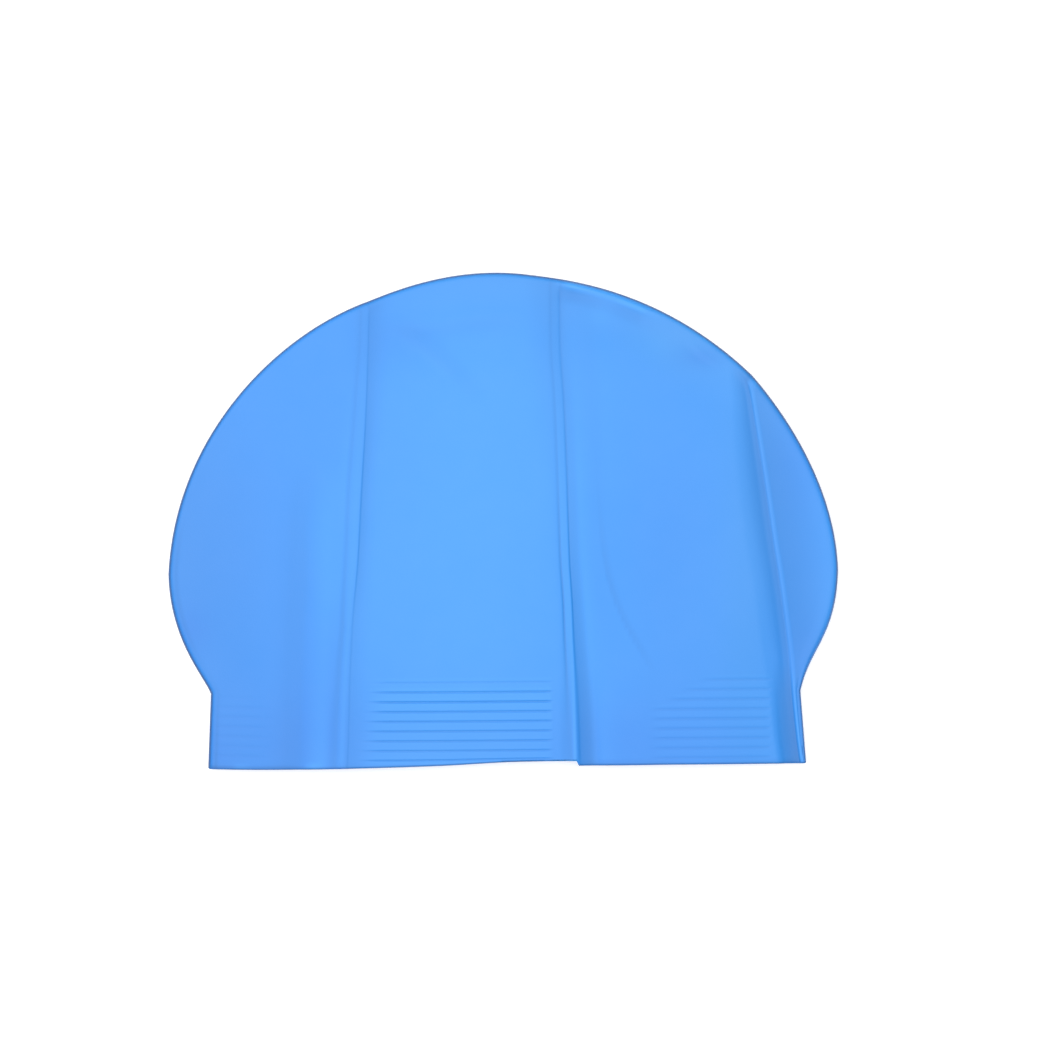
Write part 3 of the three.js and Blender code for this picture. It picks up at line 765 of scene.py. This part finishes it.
def wrinkle_form(x, y, wrinkle):
    """Rise and painted shade (a painted highlight where negative) that a wrinkle gives to points near its
    line.
    """
    table = wrinkle["points"]
    at = np.linspace(0, len(table) - 1, WRINKLE_STEPS)
    rows = np.arange(len(table))
    line_x, line_y, size = (curve_through(rows, [p[key] for p in table], at) for key in ("x", "y", "size"))
    reach = max(abs(row["away"]) for row in wrinkle["section"])
    near = (x > line_x.min() - reach) & (x < line_x.max() + reach)
    near &= (y > line_y.min() - reach) & (y < line_y.max() + reach)
    form = {"rise": np.zeros(x.shape), "dark": np.zeros(x.shape)}
    px, py = x[near][:, None], y[near][:, None]
    ax, ay = line_x[:-1], line_y[:-1]
    wx, wy = np.diff(line_x), np.diff(line_y)
    t = np.clip(((px - ax) * wx + (py - ay) * wy) / (wx**2 + wy**2), 0, 1)
    dx, dy = px - ax - t * wx, py - ay - t * wy
    away = np.hypot(dx, dy)
    best = away.argmin(1)
    pick = np.arange(len(best))
    side = np.sign(dx[pick, best] * wy[best] - dy[pick, best] * wx[best])
    strength = np.interp(best + t[pick, best], np.arange(WRINKLE_STEPS), size)
    for key, values in form.items():
        values[near] = strength * through(wrinkle["section"], "away", key, side * away[pick, best])
    return form["rise"], form["dark"]


def fold_half(depth, inset):
    """Half the pouch's thickness at a depth inside the outline."""
    short = np.maximum(0, FOLD_RADIUS - depth)
    left = np.maximum(0, (FOLD_RADIUS - inset) ** FOLD_SQUARE - short**FOLD_SQUARE)
    return left ** (1 / FOLD_SQUARE)


def relief(x, y, depth, own_rise):
    """Rise of the upper layer over its fold, from puff, creases, swells and wrinkles, and the
    painted shade and highlight of the wrinkles."""
    puff = PUFF_RISE * (1 - np.exp(-((depth / PUFF_REACH) ** 2)))
    marks = np.array(own_rise, float)
    for swell in SWELLS:
        away = ((x - swell["x"]) / swell["across"]) ** 2 + ((y - swell["y"]) / swell["along"]) ** 2
        marks = marks + swell["rise"] * np.exp(-away)
    tight = (x > 0) * (1 - smooth(y, FLAP_INSET_END, FLAP_INSET_END + TIGHT_FADE_REACH))
    start, end = blend(FADE_START, TIGHT_FADE_START, tight), blend(FADE_END, TIGHT_FADE_END, tight)
    marks = marks * smooth((depth - start) / (end - start), 0, 1)
    dark = np.zeros(np.shape(x))
    for wrinkle in WRINKLES.values():
        own, own_dark = wrinkle_form(x, y, wrinkle)
        marks = marks + own * smooth(depth, 0, WRINKLE_FADE)
        dark = dark + own_dark
    return puff + marks, dark


def groove_share(x, y):
    """How deep the grooves are at points of the face, from 0 to 1 in a full groove, and how much the
    points lie on the lands between grooves."""
    height = y - first_groove_y(x)
    count = np.round(height / GROOVE_PITCH)
    away = np.abs(height - count * GROOVE_PITCH)
    inside_band = (count >= 0) & (count < GROOVE_COUNT)
    share, land = np.zeros(np.shape(x)), np.zeros(np.shape(x))
    for group in GROOVES:
        start = group["from"] + group["lean"] * np.maximum(0, count - group["start"])
        left = smooth((x - start) / group["fade_left"], 0, 1)
        right = 1 - smooth(x, group["to"] - group["fade_right"], group["to"])
        cut = 1 - smooth(away, GROOVE_FLOOR, GROOVE_HALF_WIDTH * group["wide"])
        strength = through(GROOVE_FADE, "count", group["fade"], count)
        depth = group["depth"] * left * right * inside_band * strength
        share = share + depth * cut
        land = land + depth * (1 - cut)
    return share, land


def broad(table, x, y):
    """The sum of a table's broad soft tones at points of the face."""
    total = np.zeros(np.shape(x))
    for tone in table:
        away = ((x - tone["x"]) / tone["across"]) ** 2 + ((y - tone["y"]) / tone["along"]) ** 2
        total = total + tone["share"] * np.exp(-away)
    return total


class Mesh:
    """Gathers points, faces and, for each point, its painted crease shade and highlight, its painted
    shade near an edge, its broad painted shade and how much greyer it is painted."""

    def __init__(self):
        self.points, self.faces = [], []
        self.edge, self.dark, self.tone, self.veil = [], [], [], []

    def add(self, x, y, z, edge=0.0, dark=0.0):
        x, y, z, edge, dark = (np.ravel(v) for v in np.broadcast_arrays(x, y, z, edge, dark))
        start = sum(len(p) for p in self.points)
        self.points.append(np.stack([x, y, z], 1))
        self.edge.append(np.array(edge, float))
        self.dark.append(np.array(dark, float))
        self.tone.append(broad(PAINTED_SHADES, x, y))
        self.veil.append(broad(VEILS, x, y))
        return start + np.arange(len(x))

    def quads(self, a, b, c, d, turned=False):
        corners = [np.ravel(v) for v in np.broadcast_arrays(a, b, c, d)]
        if turned:
            corners = corners[::-1]
        self.faces += np.stack(corners, 1).tolist()

    def grid(self, index, turned=False):
        """Faces between the rows and columns of a two-way array of points."""
        self.quads(index[:-1, :-1], index[1:, :-1], index[1:, 1:], index[:-1, 1:], turned)


def painted_edge_shade(x, y, depth):
    """The narrow painted shade along the outline."""
    left = smooth(-x, EDGE_LEFT_START, EDGE_LEFT_END)
    left = left * (1 - smooth(y, EDGE_LEFT_TOP_START, EDGE_LEFT_TOP_END))
    share = np.where(x > EDGE_RIGHT_X, through(EDGE_RIGHT, "y", "share", y), 1)
    return share * (1 - smooth(depth / blend(EDGE_REACH, EDGE_REACH_LEFT, left), EDGE_FULL, 1))


def edge_shade_and_highlight(x, y, depth):
    """Painted shade and light inside the outline and along the mouth edge, and the painted shade line along
    the moulding.
    """
    reach = smooth(depth, 0, SOFT_EDGE_START) * (1 - smooth(depth, SOFT_EDGE_START, SOFT_EDGE_END))
    soft = through(SOFT_EDGE_SHADE, "x", "dark", x) * reach
    lip = through(LIP_SHADE, "x", "dark", x) * (1 - smooth(y - mouth_y(x, "upper"), 0, LIP_REACH))
    line = np.exp(-(((depth - RIM_LINE_DEPTH) / RIM_LINE_WIDTH) ** 2)) * (x < 0)
    return soft + lip + through(RIM_SHADE_LINE, "y", "dark", y) * line


def add_skin(mesh, inset, band, crown_rows):
    """One skin of the pouch, outer or lining. Returns its edge loop at the mouth."""
    lining = inset > 0
    columns = face_columns(band, crown_rows)
    x = np.array([c.x for c in columns])
    y = np.array([c.y for c in columns])
    own = np.array([c.rise for c in columns])
    dark = np.array([c.dark for c in columns])
    depth = depth_of(x, y)
    lip = 0.5 * WALL
    groove, land = (np.zeros(x.shape), np.zeros(x.shape)) if lining else groove_share(x, y)
    groove_shade = GROOVE_SHADE * groove - LAND_HIGHLIGHT * land
    y = y + lip * (1 - smooth(y - mouth_y(x, "upper"), 0, LIP_SHIFT_REACH))
    marks, wrinkle_dark = relief(x, y, depth, own)
    z = FOLD_RADIUS + fold_half(depth, inset) + marks - GROOVE_DEPTH * groove
    # painted shade in creases, wrinkles, grooves and near the edges, and painted highlights where it is
    # negative
    shade_and_highlight = dark + wrinkle_dark + edge_shade_and_highlight(x, y, depth) + groove_shade
    shade_and_highlight = np.clip(shade_and_highlight, -1, DEEPEST_SHADE)
    upper = mesh.add(x, y, z, 0, shade_and_highlight).reshape(x.shape)
    mesh.grid(upper, lining)

    last_column, last_row = x.shape[0] - 1, x.shape[1] - 1
    rows = np.arange(last_row + 1)
    border_j = np.concatenate(
        [np.zeros(last_row, int), np.arange(last_column), np.full(last_row + 1, last_column)]
    )
    border_i = np.concatenate([rows[:-1], np.full(last_column, last_row), rows[::-1]])
    station = np.concatenate(
        [columns[0].stations[:-1], [c.station for c in columns[:-1]], columns[-1].stations[::-1]]
    )
    mouth_shift = y[border_j, border_i] - np.array([c.y for c in columns])[border_j, border_i]
    rings = {"upper": [], "lower": []}
    full = (FOLD_RADIUS - flat_depth(station)) / (FOLD_RADIUS - inset)
    full = np.arccos(np.clip(full, 0, 1) ** (FOLD_SQUARE / 2))

    def ring(turn):
        """Points round the fold at a turn from its outermost line, with depth and half thickness."""
        power = 2 / FOLD_SQUARE
        ring_depth = FOLD_RADIUS - (FOLD_RADIUS - inset) * np.maximum(0, np.cos(turn)) ** power
        ring_x, ring_y = inside(station, ring_depth)
        return ring_x, ring_y + mouth_shift, ring_depth, (FOLD_RADIUS - inset) * np.sin(turn) ** power

    for k in range(RIM_STEPS + 1):
        ring_x, ring_y, ring_depth, half = ring(np.full(len(station), 0.5 * math.pi * k / RIM_STEPS))
        tone = painted_edge_shade(ring_x, ring_y, ring_depth)
        lower = mesh.add(ring_x, ring_y, FOLD_RADIUS - half, tone)
        rings["lower"].append(lower)
        if k == 0:
            rings["upper"].append(lower)
        elif k == RIM_STEPS:
            rings["upper"].append(upper[border_j, border_i])
        else:
            turn = full * k / RIM_STEPS
            ring_x, ring_y, ring_depth, half = ring(turn)
            # painted crease and wrinkle shade carried round the fold
            share, ring_dark = relief(ring_x, ring_y, ring_depth, own[border_j, border_i])
            ring_dark = (ring_dark + dark[border_j, border_i]) * smooth(ring_depth, 0, WRINKLE_FADE)
            ring_dark = np.clip(ring_dark + edge_shade_and_highlight(ring_x, ring_y, ring_depth), -1, DEEPEST_SHADE)
            tone = painted_edge_shade(ring_x, ring_y, ring_depth)
            ring_z = FOLD_RADIUS + half + share * np.sin(turn) / np.sin(full)
            rings["upper"].append(mesh.add(ring_x, ring_y, ring_z, tone, ring_dark))
    top = np.array(rings["upper"])
    low = np.array(rings["lower"])
    mesh.quads(top[:-1, :-1], top[1:, :-1], top[1:, 1:], top[:-1, 1:], lining)
    mesh.quads(low[:-1, :-1], low[:-1, 1:], low[1:, 1:], low[1:, :-1], lining)

    mouth_x = x[1:-1, 0]
    low_end = ring(np.full(len(station), 0.5 * math.pi))[0][-1]
    mouth_x = mouth_x - (x[-1, 0] - low_end) * smooth(mouth_x, low_end - FLAP_SQUEEZE, x[-1, 0])
    lower_mouth = mesh.add(mouth_x, mouth_y(mouth_x, "lower") + lip, inset)
    hub = mesh.add(0.0, HUB_Y, inset)[0]
    rim = np.concatenate([low[-1], lower_mouth[::-1]])
    following = np.roll(rim, -1)
    for here, ahead in zip(rim.tolist(), following.tolist()):
        mesh.faces.append([hub, ahead, here] if lining else [hub, here, ahead])
    loop = [top[:, 0], upper[1:-1, 0], top[::-1, -1], low[1:, -1], lower_mouth[::-1], low[:0:-1, 0]]
    return np.concatenate(loop)


# painted highlight on the upper lip beside the step
def lip_highlight(x, z):
    return np.where(z < FOLD_RADIUS, 0, through(LIP_HIGHLIGHT, "x", "pale", x))


def build_cap():
    mesh = Mesh()
    outer = add_skin(mesh, 0.0, band_rows(True), CROWN_ROWS)
    lining = add_skin(mesh, WALL, band_rows(False), LINING_CROWN_ROWS)
    points = np.concatenate(mesh.points)
    middle = 0.5 * (points[outer] + points[lining])
    arm = points[outer] - middle
    loops = [outer]
    for k in range(1, LIP_STEPS):
        turn = math.pi * k / LIP_STEPS
        x, y, z = (middle + arm * math.cos(turn)).T
        pale = lip_highlight(x, z)
        # painted shade round the middle of the lip, left off under its painted highlight
        tone = LIP_EDGE_SHADE * math.sin(turn) * (1 - pale)
        loops.append(mesh.add(x, y - 0.5 * WALL * math.sin(turn), z, tone, -pale))
    loops.append(lining)
    loops = np.array([np.append(loop, loop[0]) for loop in loops])
    mesh.quads(loops[:-1, :-1], loops[1:, :-1], loops[1:, 1:], loops[:-1, 1:])

    points = np.concatenate(mesh.points)
    edge = np.concatenate(mesh.edge)
    dark = np.concatenate(mesh.dark)
    tone = np.concatenate(mesh.tone)
    veil = np.concatenate(mesh.veil)
    pale = lip_highlight(points[outer, 0], points[outer, 2])
    # painted shade along the lip's outer border, left off under its painted highlight
    edge[outer] = np.maximum(edge[outer], LIP_EDGE_SHADE_START * (1 - pale))
    box_low, box_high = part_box("cap")
    centre = 0.5 * (points.min(0) + points.max(0))
    shift = [0.5 * (box_low[k] + box_high[k]) / MM - centre[k] for k in (0, 1)]
    shift = np.array(shift + [box_low[2] / MM])
    data = bpy.data.meshes.new("cap_skin")
    data.from_pydata(((points + shift) * MM).tolist(), [], mesh.faces)
    data.validate()
    data.polygons.foreach_set("use_smooth", [True] * len(data.polygons))
    for name, values in (("edge", edge), ("shade_and_highlight", dark), ("tone", tone), ("veil", veil)):
        data.attributes.new(name, "FLOAT", "POINT").data.foreach_set("value", values)
    data.update()
    cap = bpy.data.objects.new("cap_skin", data)
    bpy.context.scene.collection.objects.link(cap)
    return cap, shift


# Colours, linear, and finish
RUBBER_LIGHT = (0.040, 0.271, 0.73, 1)
RUBBER_DEEP = (0.037, 0.262, 0.715, 1)
SHADE_TONE = (0.012, 0.135, 0.57, 1)
HIGHLIGHT_TONE = (0.06, 0.36, 0.86, 1)
VEIL_TONE = (0.056, 0.272, 0.62, 1)
VIVID_TONE = (0.028, 0.262, 0.73, 1)
EDGE_SHADE_TONE = (0.004, 0.055, 0.2, 1)
CREASE_SHADE_TONE = (0.015, 0.15, 0.46, 1)
TONE_FULL = 0.5  # the share of the broad painted shade that gives SHADE_TONE
HIGHLIGHT_MOST = 0.75  # how much of its own tone each of these reaches
CREASE_MOST = 0.975
EDGE_MOST = 0.9
CLOUD = {"scale": 14, "detail": 2}
GLOSS = {"scale": 120, "detail": 4}
GRAIN = {"scale": 1800, "detail": 2}
NOISE_LOW, NOISE_HIGH = 0.3, 0.7
ROUGH_LOW, ROUGH_HIGH = 0.44, 0.47
RUBBER_SPECULAR = 0.4
GRAIN_STRENGTH = 0.25
GRAIN_HEIGHT = 0.00008
TABLE_COLOUR = (0.86, 0.86, 0.86, 1)
TABLE_ROUGH = 0.9
TABLE_SPECULAR = 0.2
TABLE_GLOW = 0.3
WHITE = (1, 1, 1, 1)


def rubber_material():
    material = bpy.data.materials.new("cap_rubber")
    material.use_nodes = True
    tree = material.node_tree
    nodes, links = tree.nodes, tree.links
    shader = nodes["Principled BSDF"]
    shader.inputs["Specular IOR Level"].default_value = RUBBER_SPECULAR
    where = nodes.new("ShaderNodeTexCoord")

    def noise(kind):
        node = nodes.new("ShaderNodeTexNoise")
        node.inputs["Scale"].default_value = kind["scale"]
        node.inputs["Detail"].default_value = kind["detail"]
        links.new(where.outputs["Object"], node.inputs["Vector"])
        return node.outputs["Fac"]

    def span(value, low, high, to_low, to_high):
        node = nodes.new("ShaderNodeMapRange")
        node.inputs["From Min"].default_value = low
        node.inputs["From Max"].default_value = high
        node.inputs["To Min"].default_value = to_low
        node.inputs["To Max"].default_value = to_high
        links.new(value, node.inputs["Value"])
        return node.outputs["Result"]

    def mix(share, a, b):
        node = nodes.new("ShaderNodeMix")
        node.data_type = "RGBA"
        links.new(share, node.inputs["Factor"])
        for value, target in ((a, node.inputs["A"]), (b, node.inputs["B"])):
            if isinstance(value, tuple):
                target.default_value = value
            else:
                links.new(value, target)
        return node.outputs["Result"]

    def attribute(name):
        node = nodes.new("ShaderNodeAttribute")
        node.attribute_name = name
        return node.outputs["Fac"]

    cloud = span(noise(CLOUD), NOISE_LOW, NOISE_HIGH, 0, 1)
    base = mix(cloud, RUBBER_LIGHT, RUBBER_DEEP)
    # painted greyer veil, a painted sheen at the crown and the top right
    greyed = mix(span(attribute("veil"), 0, 1, 0, 1), base, VEIL_TONE)
    vivid = mix(span(attribute("veil"), 0, -1, 0, 1), greyed, VIVID_TONE)
    # broad painted shade over the rubber
    shaded = mix(span(attribute("tone"), 0, TONE_FULL, 0, 1), vivid, SHADE_TONE)
    # painted highlights where the crease shade is negative
    highlighted = mix(span(attribute("shade_and_highlight"), 0, -1, 0, HIGHLIGHT_MOST), shaded, HIGHLIGHT_TONE)
    # painted shade in creases, wrinkles and grooves
    crease_shaded = mix(span(attribute("shade_and_highlight"), 0, DEEPEST_SHADE, 0, CREASE_MOST), highlighted, CREASE_SHADE_TONE)
    # painted shade along the outline and the lip
    edge_shaded = mix(span(attribute("edge"), 0, 1, 0, EDGE_MOST), crease_shaded, EDGE_SHADE_TONE)
    links.new(edge_shaded, shader.inputs["Base Color"])
    gloss = span(noise(GLOSS), NOISE_LOW, NOISE_HIGH, ROUGH_LOW, ROUGH_HIGH)
    links.new(gloss, shader.inputs["Roughness"])
    bump = nodes.new("ShaderNodeBump")
    bump.inputs["Strength"].default_value = GRAIN_STRENGTH
    bump.inputs["Distance"].default_value = GRAIN_HEIGHT
    links.new(noise(GRAIN), bump.inputs["Height"])
    links.new(bump.outputs["Normal"], shader.inputs["Normal"])
    return material


def table_material():
    material = bpy.data.materials.new("pale_table")
    material.use_nodes = True
    shader = material.node_tree.nodes["Principled BSDF"]
    shader.inputs["Base Color"].default_value = TABLE_COLOUR
    shader.inputs["Roughness"].default_value = TABLE_ROUGH
    shader.inputs["Specular IOR Level"].default_value = TABLE_SPECULAR
    shader.inputs["Emission Color"].default_value = WHITE
    shader.inputs["Emission Strength"].default_value = TABLE_GLOW
    return material


# Studio, in metres and watts
FLOOR_HALF = 3.0
FLOOR_DROP = 0.0002  # the floor lies this little below the cap
LIGHTS = [
    {"name": "overhead", "place": (-0.2, 0.2, 2.4), "size": 4.0, "power": 110},
    {"name": "key", "place": (-1.5, 0.8, 1.7), "size": 0.8, "power": 6},
]
WORLD_LIGHT = 0.2


def add_floor():
    data = bpy.data.meshes.new("floor")
    corners = [(x * FLOOR_HALF, y * FLOOR_HALF, -FLOOR_DROP) for x, y in ((-1, -1), (1, -1), (1, 1), (-1, 1))]
    data.from_pydata(corners, [], [(0, 1, 2, 3)])
    floor = bpy.data.objects.new("floor", data)
    bpy.context.scene.collection.objects.link(floor)
    data.materials.append(table_material())


def add_light(name, place, size, power):
    data = bpy.data.lights.new(name, "AREA")
    data.shape = "DISK"
    data.size = size
    data.energy = power
    lamp = bpy.data.objects.new(name, data)
    lamp.location = place
    lamp.rotation_mode = "QUATERNION"
    lamp.rotation_quaternion = (-Vector(place)).to_track_quat("-Z", "Y")
    bpy.context.scene.collection.objects.link(lamp)


def add_lights():
    for light in LIGHTS:
        add_light(light["name"], light["place"], light["size"], light["power"])
    world = bpy.data.worlds.new("studio")
    bpy.context.scene.world = world
    world.use_nodes = True
    background = world.node_tree.nodes["Background"]
    background.inputs["Color"].default_value = WHITE
    background.inputs["Strength"].default_value = WORLD_LIGHT
    bpy.context.scene.view_settings.view_transform = "Standard"


PHOTO_PIXELS = 1050
MM_PER_PIXEL = 0.33
PHOTO_ORIGIN = (503.1, 521.0)  # photo pixel of the cap's own origin
CAMERA_HEIGHT = 1.2
OUTLINE_LEVEL = 0.0027  # the height at which the outline has the photo's scale
SENSOR = 36.0
CLIP_NEAR, CLIP_FAR = 0.05, 20


def add_camera(shift):
    middle = 0.5 * PHOTO_PIXELS
    x = (middle - PHOTO_ORIGIN[0]) * MM_PER_PIXEL + shift[0]
    y = (PHOTO_ORIGIN[1] - middle) * MM_PER_PIXEL + shift[1]
    data = bpy.data.cameras.new("camera")
    data.sensor_width = SENSOR
    data.lens = SENSOR * (CAMERA_HEIGHT - OUTLINE_LEVEL) / (PHOTO_PIXELS * MM_PER_PIXEL * MM)
    data.clip_start = CLIP_NEAR
    data.clip_end = CLIP_FAR
    camera = bpy.data.objects.new("camera", data)
    camera.location = (x * MM, y * MM, CAMERA_HEIGHT)
    bpy.context.scene.collection.objects.link(camera)
    bpy.context.scene.camera = camera


cap, cap_shift = build_cap()
cap.data.materials.append(rubber_material())
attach(cap, "root")
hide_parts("cap")
add_floor()
add_lights()
add_camera(cap_shift)
